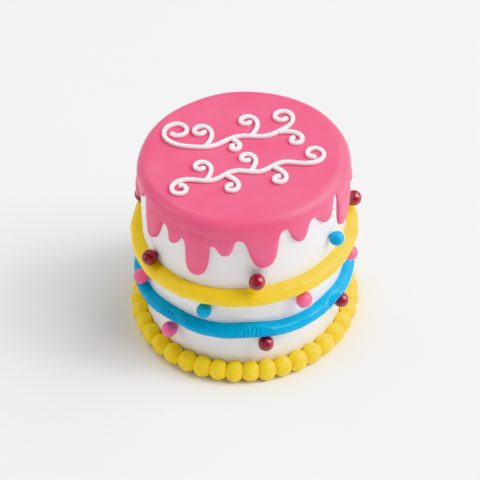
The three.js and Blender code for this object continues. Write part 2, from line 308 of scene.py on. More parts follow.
@dataclass(frozen=True)
class Finish:
    """What every finish has: a name, the record's slot, two tones of colour and a roughness."""

    name: str
    slot: str
    tone: str
    shade: str
    tone_patch: float = 6.0     # size of a patch of tone, mm
    tone_detail: float = 3.0
    roughness: float = 0.5
    roughness_spread: float = 0.05      # either way, in soft patches

    def material(self) -> bpy.types.Material:
        """Gives the finish's material, made the first time that it is asked for.

        Returns:
            The material.
        """
        made = bpy.data.materials.get(self.name)
        if made is None:
            made = bpy.data.materials.new(self.name)
            made.use_nodes = True
            tree = made.node_tree
            tree.nodes.clear()
            place = add_node(tree, "ShaderNodeTexCoord").outputs["Object"]
            shader = self.shader(tree, place)
            add_node(tree, "ShaderNodeOutputMaterial", None, {"Surface": shader.outputs[0]})
        return made

    def shader(self, tree: bpy.types.NodeTree, place: bpy.types.NodeSocket) -> bpy.types.Node:
        """Builds the finish's shader; each kind of finish has its own."""
        raise NotImplementedError

    def clouds(
        self,
        tree: bpy.types.NodeTree,
        place: bpy.types.NodeSocket,
        size: float,
        detail: float,
        between: tuple[float, float],
    ) -> bpy.types.NodeSocket:
        """Spreads soft cloudy patches between two values.

        Args:
            tree: The material's node tree.
            place: The coordinates of the piece, metres.
            size: The size of a patch, mm.
            detail: How many finer layers it has.
            between: What the clouds' low parts and high parts become.

        Returns:
            The patches' value.
        """
        clouds = add_node(tree, "ShaderNodeTexNoise", None, {
            "Vector": place, "Scale": 1.0 / (size * MM), "Detail": detail,
        })
        return add_node(tree, "ShaderNodeMapRange", None, {
            "Value": clouds.outputs[0], "From Min": CLOUD_LOW, "From Max": CLOUD_HIGH,
            "To Min": between[0], "To Max": between[1],
        }).outputs[0]

    def specks(
        self,
        tree: bpy.types.NodeTree,
        place: bpy.types.NodeSocket,
        spacing: float,
        size: float,
        between: tuple[float, float],
    ) -> bpy.types.NodeSocket:
        """Scatters specks with soft edges.

        Args:
            tree: The material's node tree.
            place: The coordinates of the piece, metres.
            spacing: How far apart they lie, mm.
            size: How far a speck reaches from its middle, mm.
            between: The value in a speck and the value beside it.

        Returns:
            The specks' value.
        """
        cells = add_node(tree, "ShaderNodeTexVoronoi", {"feature": "F1"}, {
            "Vector": place, "Scale": 1.0 / (spacing * MM),
        })
        edge = size / spacing
        return add_node(tree, "ShaderNodeMapRange", None, {
            "Value": cells.outputs["Distance"], "From Min": edge / 2, "From Max": edge,
            "To Min": between[0], "To Max": between[1],
        }).outputs[0]

    def tones(self, tree: bpy.types.NodeTree, place: bpy.types.NodeSocket) -> bpy.types.NodeSocket:
        """Mixes the two tones in soft patches.

        Args:
            tree: The material's node tree.
            place: The coordinates of the piece, metres.

        Returns:
            The colour.
        """
        patches = self.clouds(tree, place, self.tone_patch, self.tone_detail, (0.0, 1.0))
        inputs = {0: patches, 6: linear(self.shade), 7: linear(self.tone)}
        return add_node(tree, "ShaderNodeMix", {"data_type": "RGBA"}, inputs).outputs[2]

    def sheen(
        self, tree: bpy.types.NodeTree, place: bpy.types.NodeSocket, size: float, detail: float
    ) -> bpy.types.NodeSocket:
        """Varies the roughness in soft patches.

        Args:
            tree: The material's node tree.
            place: The coordinates of the piece, metres.
            size: The size of a patch, mm.
            detail: How many finer layers it has.

        Returns:
            The roughness.
        """
        between = (self.roughness - self.roughness_spread, self.roughness + self.roughness_spread)
        return self.clouds(tree, place, size, detail, between)

    def relief(
        self, tree: bpy.types.NodeTree, place: bpy.types.NodeSocket, *grains: Grain
    ) -> bpy.types.NodeSocket:
        """Lays layers of fine relief over one another.

        Args:
            tree: The material's node tree.
            place: The coordinates of the piece, metres.
            grains: The layers, the lowest first.

        Returns:
            The surface's normal.
        """
        normal = {}
        for grain in grains:
            height = add_node(tree, "ShaderNodeTexNoise", None, {
                "Vector": place, "Scale": 1.0 / (grain.size * MM), "Detail": grain.detail,
            })
            bump = add_node(tree, "ShaderNodeBump", None, {
                "Height": height.outputs[0], "Distance": grain.depth * MM, "Strength": 1.0, **normal,
            })
            normal = {"Normal": bump.outputs[0]}
        return bump.outputs[0]


@dataclass(frozen=True)
class RolledFondant(Finish):
    """Sugar paste, kneaded, coloured and rolled out, then smoothed by hand.

    Sugar and gum let light in a little and out again nearby, which softens shadows and makes
    creases glow. The surface dries to a satin, with slow waves from the hand, a grain of icing
    sugar and here and there a crumb.
    """

    roughness_spread: float = 0.04
    subsurface: float = 0.12
    glow: tuple[float, float, float] = (1.0, 0.6, 0.5)
    glow_depth: float = 1.5     # mm
    waves: Grain = Grain(9.0, 0.25, 1.0)        # left by the hand
    # Icing sugar is about 0.02 mm, drawn coarser so that it shows as a faint tooth.
    sugar: Grain = Grain(0.5, 0.02)
    crumb_spacing: float = 10.0
    crumb_size: float = 0.336
    crumb_shade: float = 0.35   # how far a crumb hides the paste; 0 leaves them out
    crumb_tone: float = 0.25    # how bright a crumb is against the paste

    def crumbs(
        self, tree: bpy.types.NodeTree, place: bpy.types.NodeSocket, colour: bpy.types.NodeSocket
    ) -> bpy.types.NodeSocket:
        """Darkens the paste where a crumb is caught in it.

        Args:
            tree: The material's node tree.
            place: The coordinates of the piece, metres.
            colour: The paste's colour.

        Returns:
            The colour with its crumbs.
        """
        between = (self.crumb_shade, 0.0)
        crumb = self.specks(tree, place, self.crumb_spacing, self.crumb_size, between)
        dark = tuple(self.crumb_tone * part for part in linear(self.shade)[:3]) + (1.0,)
        inputs = {0: crumb, 6: colour, 7: dark}
        return add_node(tree, "ShaderNodeMix", {"data_type": "RGBA"}, inputs).outputs[2]

    def shader(self, tree: bpy.types.NodeTree, place: bpy.types.NodeSocket) -> bpy.types.Node:
        """Builds the paste's shader.

        Args:
            tree: The material's node tree.
            place: The coordinates of the piece, metres.

        Returns:
            The shader node.
        """
        colour = self.tones(tree, place)
        if self.crumb_shade > 0.0:
            colour = self.crumbs(tree, place, colour)
        return add_node(tree, "ShaderNodeBsdfPrincipled", None, {
            "Base Color": colour,
            "Roughness": self.sheen(tree, place, self.waves.size, self.waves.detail),
            "IOR": 1.45,
            "Normal": self.relief(tree, place, self.waves, self.sugar),
            "Subsurface Weight": self.subsurface,
            "Subsurface Radius": self.glow,
            "Subsurface Scale": self.glow_depth * MM,
        })


@dataclass(frozen=True)
class SugarPearl(Finish):
    """A ball of pressed sugar, panned in coloured syrup and polished with a food glaze.

    The glaze gives a clear highlight over a deep colour. Panning leaves the ball very slightly
    pitted, and its colour a little thin in places.
    """

    glaze: float = 0.5
    glaze_roughness: float = 0.12
    pits: Grain = Grain(0.7, 0.02)

    def shader(self, tree: bpy.types.NodeTree, place: bpy.types.NodeSocket) -> bpy.types.Node:
        """Builds the pearl's shader.

        Args:
            tree: The material's node tree.
            place: The coordinates of the piece, metres.

        Returns:
            The shader node.
        """
        return add_node(tree, "ShaderNodeBsdfPrincipled", None, {
            "Base Color": self.tones(tree, place),
            "Roughness": self.sheen(tree, place, self.tone_patch, 1.0),
            "IOR": 1.5,
            "Normal": self.relief(tree, place, self.pits),
            "Subsurface Weight": 0.08,
            "Subsurface Radius": (1.0, 0.4, 0.4),
            "Subsurface Scale": 0.8 * MM,
            "Coat Weight": self.glaze,
            "Coat Roughness": self.glaze_roughness,
            "Coat IOR": 1.5,
        })


@dataclass(frozen=True)
class RoyalIcing(Finish):
    """Egg white and icing sugar, piped from a round nozzle and dried hard.

    It is the whitest thing on the cake, with a soft sheen, faint drag lines from the nozzle and a
    few burst air bubbles.
    """

    roughness: float = 0.42
    drag: Grain = Grain(0.8, 0.03)
    bubble_spacing: float = 2.2     # mm
    bubble_size: float = 0.14

    def shader(self, tree: bpy.types.NodeTree, place: bpy.types.NodeSocket) -> bpy.types.Node:
        """Builds the icing's shader.

        Args:
            tree: The material's node tree.
            place: The coordinates of the piece, metres.

        Returns:
            The shader node.
        """
        pitted = add_node(tree, "ShaderNodeBump", None, {
            "Height": self.specks(tree, place, self.bubble_spacing, self.bubble_size, (0.0, 1.0)),
            "Distance": self.bubble_size * MM,
            "Strength": 1.0,
            "Normal": self.relief(tree, place, self.drag),
        })
        return add_node(tree, "ShaderNodeBsdfPrincipled", None, {
            "Base Color": self.tones(tree, place),
            "Roughness": self.sheen(tree, place, self.drag.size, self.drag.detail),
            "IOR": 1.5,
            "Normal": pitted.outputs[0],
            "Subsurface Weight": 0.2,
            "Subsurface Radius": (1.0, 0.9, 0.85),
            "Subsurface Scale": 0.8 * MM,
        })


@dataclass(frozen=True)
class SeamlessPaper(Finish):
    """Matte background paper from a roll, bright and even, with a tooth too fine to see."""

    roughness: float = 0.9
    gloss: float = 0.2
    fibres: Grain = Grain(1.2, 0.02, 3.0)

    def shader(self, tree: bpy.types.NodeTree, place: bpy.types.NodeSocket) -> bpy.types.Node:
        """Builds the paper's shader.

        Args:
            tree: The material's node tree.
            place: The coordinates of the piece, metres.

        Returns:
            The shader node.
        """
        return add_node(tree, "ShaderNodeBsdfPrincipled", None, {
            "Base Color": self.tones(tree, place),
            "Roughness": self.roughness,
            "Specular IOR Level": self.gloss,
            "Normal": self.relief(tree, place, self.fibres),
        })


# Rolled out over the whole cake: a bright satin white whose shadows stay soft.
WHITE_FONDANT = RolledFondant(
    "white rolled fondant", "white_fondant", "f5f3f4", "f2f0f1", tone_patch=14.0,
    roughness=0.45, subsurface=0.15, glow=(1.0, 0.9, 0.8), waves=Grain(16.0, 0.2, 1.0),
    crumb_size=0.24, crumb_shade=0.2,
)
# A thin sheet, smoothed longest: an even satin pink with slow waves.
PINK_FONDANT = RolledFondant(
    "pink rolled fondant", "pink_fondant", "f67297", "f2678d", tone_patch=20.0,
    roughness=0.38, subsurface=0.1, waves=Grain(16.0, 0.5, 1.0),
)
# Rolled by hand into a rope and balls: warm light gets through, so shaded sides glow.
YELLOW_FONDANT = RolledFondant(
    "yellow rolled fondant", "yellow_fondant", "ffde44", "fed638", tone_patch=5.0,
    roughness=0.4, subsurface=0.25, glow=(1.0, 0.8, 0.3), glow_depth=2.0,
    waves=Grain(4.5, 0.3, 1.0), crumb_shade=0.0,
)
# The most strongly coloured paste: dense and even, dimpled by the fingers.
BLUE_FONDANT = RolledFondant(
    "blue rolled fondant", "blue_fondant", "00acdf", "00a3d5", tone_patch=5.0,
    roughness=0.38, subsurface=0.06, glow=(0.4, 0.8, 1.0),
    waves=Grain(6.0, 0.3, 1.0), crumb_shade=0.0,
)
# The most heavily glazed pearls: a deep wine red under a clear highlight.
MAROON_PEARL = SugarPearl(
    "maroon sugar pearl", "maroon_pearl", "9c2436", "8a1e2e", tone_patch=3.0,
    roughness=0.36, glaze=0.8, glaze_roughness=0.18,
)
# Thinly glazed: a bright ball with a wide, soft highlight.
PINK_PEARL = SugarPearl(
    "pink sugar pearl", "pink_pearl", "ff7cac", "fb72a2", tone_patch=3.0,
    roughness=0.44, glaze=0.2, glaze_roughness=0.3,
)
# Hardly glazed at all: a bright, nearly matte ball.
BLUE_PEARL = SugarPearl(
    "blue sugar pearl", "blue_pearl", "00aee2", "00a4d8", tone_patch=3.0,
    roughness=0.44, glaze=0.1, glaze_roughness=0.3,
)
# Piped thick: chalk white, with a soft sheen along its ridges.
WHITE_ICING = RoyalIcing("white royal icing", "white_icing", "f8f7f9", "f3f2f4", tone_patch=3.0)
# Swept clean and lit evenly: it shows nothing but the cake's soft shadow.
STUDIO_PAPER = SeamlessPaper("seamless paper", "", "f6f6f7", "f4f4f5", tone_patch=60.0)


# ---------- pearls ----------


class PearlColour(Enum):
    """The colours that the sugar pearls come in, each with its finish."""

    MAROON = MAROON_PEARL
    PINK = PINK_PEARL
    BLUE = BLUE_PEARL


@dataclass(frozen=True)
class Pearl:
    """One sugar pearl: degrees round the side, height of its centre, radius and colour."""

    degrees: float
    height: float
    radius: float
    colour: PearlColour

    def centre(self, wall_radius: float) -> np.ndarray:
        """Gives the pearl's centre where it touches a wall of this radius, mm."""
        return on_side(self.degrees, wall_radius + self.radius, self.height)


@dataclass
class PearlScatter:
    """The sugar pearls that are pressed to the side."""

    wall_radius: float = 50.6
    detail: int = 4             # subdivisions of an icosahedron
    settle: float = 0.25        # how much further a pearl reaches at the back, into the paste
    ripple: Ripple = Ripple(depth=0.012, length=3.0, seed=31)
    pearls: tuple[Pearl, ...] = (
        Pearl(-111.5, 59.4, 4.0, PearlColour.MAROON),
        Pearl(-58.7, 61.0, 3.85, PearlColour.MAROON),
        Pearl(4.7, 66.6, 4.0, PearlColour.MAROON),
        Pearl(53.1, 71.9, 3.65, PearlColour.BLUE),
        Pearl(93.0, 65.6, 4.0, PearlColour.MAROON),
        Pearl(143.0, 67.5, 3.8, PearlColour.PINK),
        Pearl(-163.0, 64.5, 3.65, PearlColour.BLUE),
        Pearl(-72.0, 37.6, 3.85, PearlColour.PINK),
        Pearl(-22.6, 45.1, 3.65, PearlColour.BLUE),
        Pearl(30.2, 46.6, 4.0, PearlColour.PINK),
        Pearl(72.5, 47.0, 3.85, PearlColour.PINK),
        Pearl(121.0, 45.5, 3.85, PearlColour.MAROON),
        Pearl(172.0, 44.0, 3.65, PearlColour.BLUE),
        Pearl(-128.0, 43.0, 4.0, PearlColour.MAROON),
        Pearl(-44.5, 22.0, 3.9, PearlColour.PINK),
        Pearl(9.5, 24.5, 3.9, PearlColour.MAROON),
        Pearl(61.0, 24.8, 3.9, PearlColour.MAROON),
        Pearl(112.0, 22.5, 3.65, PearlColour.BLUE),
        Pearl(157.0, 23.5, 3.85, PearlColour.PINK),
        Pearl(-157.0, 21.5, 3.9, PearlColour.MAROON),
        Pearl(-112.0, 21.0, 3.65, PearlColour.BLUE),
    )

    def build(self) -> None:
        """Makes each pearl as a piece of its own."""
        ball = bmesh.new()
        bmesh.ops.create_icosphere(ball, subdivisions=self.detail, radius=1.0)
        directions = np.array([corner.co for corner in ball.verts])
        faces = [tuple(corner.index for corner in face.verts) for face in ball.faces]
        ball.free()
        for number, pearl in enumerate(self.pearls, start=1):
            label = f"{number:02d}_{pearl.colour.name.lower()}"
            points = self.points(pearl, directions)
            make_piece(f"sugar_pearl_{label}", points, faces, pearl.colour.value, (f"pearl_{label}",))

    def points(self, pearl: Pearl, directions: np.ndarray) -> np.ndarray:
        """Shapes one pearl: nearly a ball, settled into the paste at its back.

        Args:
            pearl: The pearl.
            directions: Unit vectors from its centre.

        Returns:
            Rows of x, y and z, mm.
        """
        outward = on_side(pearl.degrees, 1.0, 0.0)
        centre = pearl.centre(self.wall_radius)
        depth = pearl.radius + self.ripple.at(centre + directions * pearl.radius)
        back = np.clip(-directions @ outward, 0.0, 1.0)
        return centre + directions * depth[:, None] - outward * (self.settle * back**4)[:, None]


# ---------- the covered cake ----------


@dataclass(frozen=True)
class Fold:
    """A soft upright fold of a sheet: where it stands, and how wide and how proud it is, mm."""

    degrees: float
    foot: float
    top: float
    width: float
    proud: float
    fade: float = 8.0           # how far its ends take to die out

    def at(self, degrees: Values, height: np.ndarray, radius: float) -> np.ndarray:
        """Reads the fold.

        Args:
            degrees: Angles round the cake.
            height: Heights above the base, mm.
            radius: The wall's radius, mm.

        Returns:
            How far each point stands proud, mm.
        """
        along = np.radians(turned_from(degrees, self.degrees)) * radius
        ends = smooth_step(self.foot, self.foot + self.fade, height)
        ends = ends * smooth_step(self.top, self.top - self.fade, height)
        return self.proud * np.exp(-((along / self.width) ** 2)) * ends


@dataclass
class CoveredCake:
    """The uncut cake under its white covering: a straight wall that rounds over into the top.

    A place on it is degrees round the cake and a run: the way up the wall, over the crown and in
    across the top, mm.
    """

    wall_radius: float = 50.5
    crown_radius: float = 5.2
    height: float = 98.4
    around: int = 420
    wall_step: float = 2.2
    crown_rows: int = 14
    top_rows: int = 12
    ripple: Ripple = Ripple(depth=0.07, length=38.0, seed=7)
    fold: Fold = Fold(degrees=-73.0, foot=62.0, top=90.0, width=1.5, proud=0.3)
    top_radius: float = field(init=False)
    wall_top: float = field(init=False)     # the run where the crown starts
    crown_top: float = field(init=False)    # and where it ends
    middle: float = field(init=False)       # the run at the middle of the top

    def __post_init__(self) -> None:
        """Works out where the wall, the crown and the top meet."""
        self.top_radius = self.wall_radius - self.crown_radius
        self.wall_top = self.height - self.crown_radius
        self.crown_top = self.wall_top + self.crown_radius * math.pi / 2
        self.middle = self.crown_top + self.top_radius

    def run_at(self, height: Values) -> Values:
        """Turns heights on the wall or the crown to runs.

        Args:
            height: Heights above the base, mm.

        Returns:
            The runs, mm.
        """
        rise = np.clip((height - self.wall_top) / self.crown_radius, 0.0, 1.0)
        return np.minimum(height, self.wall_top) + self.crown_radius * np.arcsin(rise)

    def bend_at(self, run: Values) -> Values:
        """Gives how far over the crown runs have turned, radians."""
        return np.clip((run - self.wall_top) / self.crown_radius, 0.0, math.pi / 2)

    def radius_at(self, run: Values) -> Values:
        """Gives the covering's distance from the axis.

        Args:
            run: Runs, mm.

        Returns:
            The radii, mm.
        """
        inward = np.clip(run - self.crown_top, 0.0, self.top_radius)
        return self.top_radius + self.crown_radius * np.cos(self.bend_at(run)) - inward

    def skin(self, degrees: Values, run: Values, proud: Values) -> np.ndarray:
        """Gives points on the covering or a way proud of it.

        Args:
            degrees: Angles round the cake.
            run: Runs, mm.
            proud: How far each point stands out from the covering, mm.

        Returns:
            Rows of x, y and z, mm.
        """
        bend = self.bend_at(run)
        height = np.minimum(run, self.wall_top) + self.crown_radius * np.sin(bend)
        bare = on_side(degrees, self.radius_at(run), height)
        out = on_side(degrees, np.cos(bend), np.sin(bend))
        uneven = self.ripple.at(bare) + self.fold.at(degrees, height, self.wall_radius)
        return bare + out * (proud + uneven)[..., None]

    def press_on(self, points: np.ndarray) -> np.ndarray:
        """Presses paste flat against the wall.

        Args:
            points: Rows of x, y and z, mm.

        Returns:
            The rows, with those that lay inside the wall moved out to it.
        """
        radius = np.hypot(points[..., 0], points[..., 1])
        points[..., :2] *= np.maximum((self.wall_radius - SUNK) / radius, 1.0)[..., None]
        return points

    def build(self) -> None:
        """Makes the covering, with the flat base that the cake stands on."""
        wall = np.linspace(0.0, self.wall_top, round(self.wall_top / self.wall_step) + 1)
        crown = np.linspace(self.wall_top, self.crown_top, self.crown_rows)[1:]
        top = np.linspace(self.crown_top, self.middle, self.top_rows)[1:-1]
        runs = np.concatenate([wall, crown, top])
        degrees = np.arange(self.around) * 360.0 / self.around
        rows = self.skin(degrees[None, :], runs[:, None], 0.0)
        rows[0, :, 2] = 0.0
        points = np.vstack([rows.reshape(-1, 3), [[0.0, 0.0, 0.0], [0.0, 0.0, self.height]]])
        faces = capped_faces(len(runs), self.around)
        make_piece("white_covering", points, faces, WHITE_FONDANT, ("cake_body",))


# ---------- the drip cap ----------


@dataclass(frozen=True)
class Turn:
    """A turn of the cap's lower edge: the top of a gap or the tip of a drip.

    The edge runs level there, and its round end reaches a share of the way to the turn before and
    the turn after.
    """

    degrees: float
    height: float
    reach_before: float
    reach_after: float


@dataclass
class DripCap:
    """The pink cap, a sheet of rolled fondant cut with drips and laid over the covering."""

    cake: CoveredCake
    thickness: float = 1.2
    crown_gain: float = 0.5     # how much thicker it is across the top
    drip_gain: float = 0.9      # and in the middle of its drips, below a height
    drip_height: float = 86.0
    drip_fade: float = 6.0      # how far above that height the gain dies out
    drip_round: float = 2.4     # how far in from its edge a drip swells
    drop: float = 0.7           # how far its cut edge sinks as it is pressed on
    edge_round: float = 0.6     # how far in from its edge it reaches its full thickness
    edge_steps: int = 6
    curve_points: int = 200     # from one turn of the edge to the next, before they are evened out
    point_gap: float = 0.38     # between the points along its edge
    finer: int = 6              # how much closer the points lie that distances are read from
    slack: float = 0.02         # how much nearer the edge than its ring a point may lie
    fill_gap: float = 1.15      # between the points away from its edge
    top_gap: float = 2.2        # and on the flat top
    fewest: int = 6             # points in a row round the middle
    ripple: Ripple = Ripple(depth=0.12, length=26.0, seed=12)
    turns: tuple[Turn, ...] = (
        Turn(-180.0, 92.5, 0.6, 0.6),
        Turn(-171.5, 76.0, 0.7, 0.75),
        Turn(-161.0, 90.5, 0.5, 0.5),
        Turn(-154.5, 83.5, 0.6, 0.6),
        Turn(-146.5, 93.0, 0.6, 0.5),
        Turn(-136.0, 69.5, 0.9, 0.9),
        Turn(-125.5, 89.0, 0.5, 0.5),
        Turn(-118.5, 81.0, 0.7, 0.6),
        Turn(-109.5, 92.5, 0.6, 0.6),
        Turn(-100.0, 74.0, 0.8, 0.8),
        Turn(-92.0, 91.0, 0.5, 0.5),
        Turn(-86.0, 79.3, 0.6, 0.7),
        Turn(-79.5, 90.5, 0.5, 0.4),
        Turn(-74.5, 88.6, 0.6, 0.5),
        Turn(-67.5, 94.4, 0.3, 0.6),
        Turn(-63.8, 71.2, 1.0, 0.74),
        Turn(-49.4, 88.7, 0.15, 1.1),
        Turn(-42.9, 79.1, 0.9, 0.55),
        Turn(-36.6, 85.6, 0.1, 0.7),
        Turn(-29.0, 65.0, 1.25, 1.05),
        Turn(-18.2, 85.8, 0.4, 0.4),
        Turn(-11.8, 80.9, 0.7, 0.8),
        Turn(-4.2, 90.5, 0.55, 0.45),
        Turn(8.8, 72.8, 0.7, 1.0),
        Turn(20.4, 93.6, 0.6, 0.35),
        Turn(29.3, 83.3, 0.65, 0.65),
        Turn(37.9, 93.5, 0.6, 0.2),
        Turn(47.7, 85.6, 0.5, 1.0),
        Turn(55.6, 96.2, 0.7, 0.4),
        Turn(68.5, 71.0, 1.1, 0.8),
        Turn(79.5, 91.5, 0.6, 0.5),
        Turn(87.5, 82.0, 0.7, 0.6),
        Turn(96.0, 92.0, 0.5, 0.6),
        Turn(106.0, 68.5, 0.9, 0.9),
        Turn(115.5, 89.5, 0.5, 0.4),
        Turn(123.0, 79.5, 0.7, 0.7),
        Turn(131.0, 93.5, 0.6, 0.6),
        Turn(141.0, 74.5, 0.8, 0.8),
        Turn(150.5, 90.0, 0.5, 0.5),
        Turn(157.5, 82.5, 0.6, 0.7),
        Turn(166.0, 91.5, 0.6, 0.5),
        Turn(173.0, 85.0, 0.6, 0.6),
        Turn(180.0, 92.5, 0.6, 0.6),
    )

    def edge(self, gap: float) -> np.ndarray:
        """Draws the cap's lower edge with even steps.

        Args:
            gap: The step, mm.

        Returns:
            One row of degrees and run for each point, once round the cake.
        """
        share = np.linspace(0.0, 1.0, self.curve_points, endpoint=False)[:, None]
        left = 1.0 - share
        weights = np.hstack([left**3, 3 * left**2 * share, 3 * left * share**2, share**3])
        stretches = []
        for here, there in zip(self.turns, self.turns[1:]):
            span = there.degrees - here.degrees
            ends = np.array([
                [here.degrees, here.height],
                [here.degrees + here.reach_after * span, here.height],
                [there.degrees - there.reach_before * span, there.height],
                [there.degrees, there.height],
            ])
            stretches.append(weights @ ends)
        curve = np.vstack([*stretches, [[self.turns[-1].degrees, self.turns[-1].height]]])
        curve[:, 1] = self.cake.run_at(curve[:, 1] - self.drop)
        along = distances(self.cake.skin(*curve.T, 0.0))
        steps = np.linspace(0.0, along[-1], round(along[-1] / gap), endpoint=False)
        return read_path(curve, along, steps)

    def nearness(self) -> KDTree:
        """Lists closely spaced points of the edge, to read how far places lie from it.

        Returns:
            The points in a tree, mm.
        """
        points = self.cake.skin(*self.edge(self.point_gap / self.finer).T, 0.0)
        close = KDTree(len(points))
        for number, point in enumerate(points):
            close.insert(point, number)
        close.balance()
        return close

    def inset(self, edge: np.ndarray, depth: float) -> np.ndarray:
        """Moves the edge's points in under the cap.

        Args:
            edge: Rows of degrees and run along the edge.
            depth: How far they move, mm.

        Returns:
            The moved rows.
        """
        flat = np.radians(self.cake.radius_at(edge[:, 1]))
        heading = np.roll(edge, -1, axis=0) - np.roll(edge, 1, axis=0)
        heading[:, 0] = turned_from(heading[:, 0], 0.0) * flat
        heading /= np.linalg.norm(heading, axis=1, keepdims=True)
        return edge + depth * np.stack([-heading[:, 1] / flat, heading[:, 0]], axis=-1)

    def fill(self, edge: np.ndarray) -> np.ndarray:
        """Lays staggered rows of points over the cap, above its edge.

        Args:
            edge: Rows of degrees and run along the edge.

        Returns:
            Rows of degrees and run.
        """
        order = np.argsort(edge[:, 0])
        rows = []
        run, row = edge[:, 1].min(), 0
        while run < self.cake.middle - self.top_gap:
            gap = self.fill_gap if run < self.cake.crown_top else self.top_gap
            count = max(round(2 * math.pi * self.cake.radius_at(run) / gap), self.fewest)
            degrees = (np.arange(count) + row % 2 / 2) * 360.0 / count - 180.0
            above = run > np.interp(degrees, edge[order, 0], edge[order, 1], period=360.0)
            rows.append(np.stack([degrees[above], np.full(above.sum(), run)], axis=-1))
            run += gap * math.sin(math.pi / 3)
            row += 1
        return np.vstack([*rows, [[0.0, self.cake.middle]]])

    def inland(self, places: np.ndarray, close: KDTree) -> np.ndarray:
        """Measures how far places lie from the edge.

        Args:
            places: Rows of degrees and run.
            close: The edge's points, closely spaced.

        Returns:
            The distances, mm.
        """
        return np.array([close.find(point)[2] for point in self.cake.skin(*places.T, 0.0)])

    def lay_out(self, edge: np.ndarray, close: KDTree) -> tuple[np.ndarray, np.ndarray]:
        """Lays out the cap's points: the edge, rings that round it over, then the rest.

        Args:
            edge: Rows of degrees and run along the edge.
            close: The edge's points, closely spaced.

        Returns:
            Rows of degrees and run, and how full the sheet is at each, from 0 to 1.
        """
        rings, fullness = [edge], [np.zeros(len(edge))]
        for step in range(1, self.edge_steps + 1):
            turn = step / self.edge_steps * math.pi / 2
            depth = self.edge_round * (1.0 - math.cos(turn))
            ring = self.inset(edge, depth)
            ring = ring[self.inland(ring, close) >= depth - self.slack]
            rings.append(ring)
            fullness.append(np.full(len(ring), math.sin(turn)))
        fill = self.fill(edge)
        fill = fill[self.inland(fill, close) >= self.edge_round + self.fill_gap / 2]
        return np.vstack([*rings, fill]), np.concatenate([*fullness, np.ones(len(fill))])

    def full_thickness(self, places: np.ndarray, close: KDTree) -> np.ndarray:
        """Gives how thick the sheet is away from its rounded edge.

        Args:
            places: Rows of degrees and run.
            close: The edge's points, closely spaced.

        Returns:
            The thickness at each place, mm.
        """
        crown = smooth_step(self.cake.wall_top, self.cake.crown_top, places[:, 1])
        drip = smooth_step(self.drip_height + self.drip_fade, self.drip_height, places[:, 1])
        swollen = np.clip(self.inland(places, close) / self.drip_round, 0.0, 1.0)
        drip *= np.sin(swollen * math.pi / 2)
        return self.thickness + self.crown_gain * crown + self.drip_gain * drip

    def triangles(self, places: np.ndarray, on_edge: int) -> Faces:
        """Joins the cap's points by triangles, on a plane where the whole cap is spread out.

        Args:
            places: Rows of degrees and run, the edge's first and in order.
            on_edge: How many of them lie on the edge.

        Returns:
            The corner numbers of each triangle inside the edge.
        """
        plane = on_side(places[:, 0], self.cake.middle - places[:, 1], 0.0)[:, :2]
        corners = [Vector(point) for point in plane.tolist()]
        _, _, faces, sources, _, _ = delaunay_2d_cdt(
            corners, [], [list(range(on_edge))], INSIDE_OUTLINE, MERGE_GAP)
        faces = [tuple(sources[corner][0] for corner in face) for face in faces]
        return [face for face in faces if max(face) >= on_edge]

    def build(self) -> None:
        """Makes the cap as a closed sheet whose rounded edge is pressed into the covering."""
        edge = self.edge(self.point_gap)
        close = self.nearness()
        places, fullness = self.lay_out(edge, close)
        full = self.full_thickness(places, close)
        outer = self.cake.skin(*places.T, (full + SUNK) * fullness - SUNK)
        outward = self.cake.skin(*places.T, 1.0) - self.cake.skin(*places.T, 0.0)
        outer += outward * (self.ripple.at(outer) * fullness)[:, None]
        inner = self.cake.skin(*places[len(edge):].T, -SUNK)
        faces = self.triangles(places, len(edge))
        shift = len(places) - len(edge)
        under = [tuple(k if k < len(edge) else k + shift for k in reversed(f)) for f in faces]
        points = np.vstack([outer, inner])
        make_piece("pink_drip_cap", points, faces + under, PINK_FONDANT, ("drip_cap",))


# ---------- ropes ----------


@dataclass(frozen=True)
class Dent:
    """A soft finger dent in a rope: where it is, how wide and how deep, mm."""

    degrees: float
    up: float
    width: float
    depth: float


@dataclass(frozen=True)
class ShellTool:
    """The mark of a shell tool pressed into a rope: a ribbed fan that rises from its lower edge.

    Beside the fan the tool's shoulder leaves a smooth hollow, with a lip of paste pushed up
    round both. Heights are along the rope's face, from its outermost line.
    """

    half_width: float = 7.0
    half_height: float = 7.6
    foot: float = -2.9          # the fan's lower edge
    pivot: float = -24.0        # where its ribs would meet
    rib_depth: float = 0.7
    rib_turn: float = 4.6       # degrees between ribs
    hollow_at: float = 2.0      # the hollow's middle, along the rope
    hollow_half_width: float = 9.5
    hollow_half_height: float = 8.1
    hollow_depth: float = 0.35
    hollow_slope: float = 0.8   # where its floor ends; this and the next three are shares of its size
    fan_slope: float = 0.9
    lip_at: float = 1.1
    lip_width: float = 0.12
    lip: float = 0.2

    def depth(self, along: np.ndarray, up: np.ndarray) -> np.ndarray:
        """Gives the mark's depth.

        Args:
            along: Distances along the rope from the mark's middle, mm.
            up: Heights up the rope's face, mm.

        Returns:
            How far the face is pressed in, mm, or pushed out where it is below 0.
        """
        above = up - self.foot
        fan = np.hypot(along / self.half_width, above / self.half_height)
        hollow = np.hypot(
            (along - self.hollow_at) / self.hollow_half_width, above / self.hollow_half_height)
        both = np.minimum(fan, hollow)
        angle = np.degrees(np.arctan2(along, up - self.pivot))
        ribs = 0.5 + 0.5 * np.cos(2.0 * math.pi * angle / self.rib_turn)
        pressed = self.hollow_depth * smooth_step(1.0, self.hollow_slope, both)
        pressed += self.rib_depth * ribs * smooth_step(1.0, self.fan_slope, fan)
        return pressed - self.lip * np.exp(-(((both - self.lip_at) / self.lip_width) ** 2))


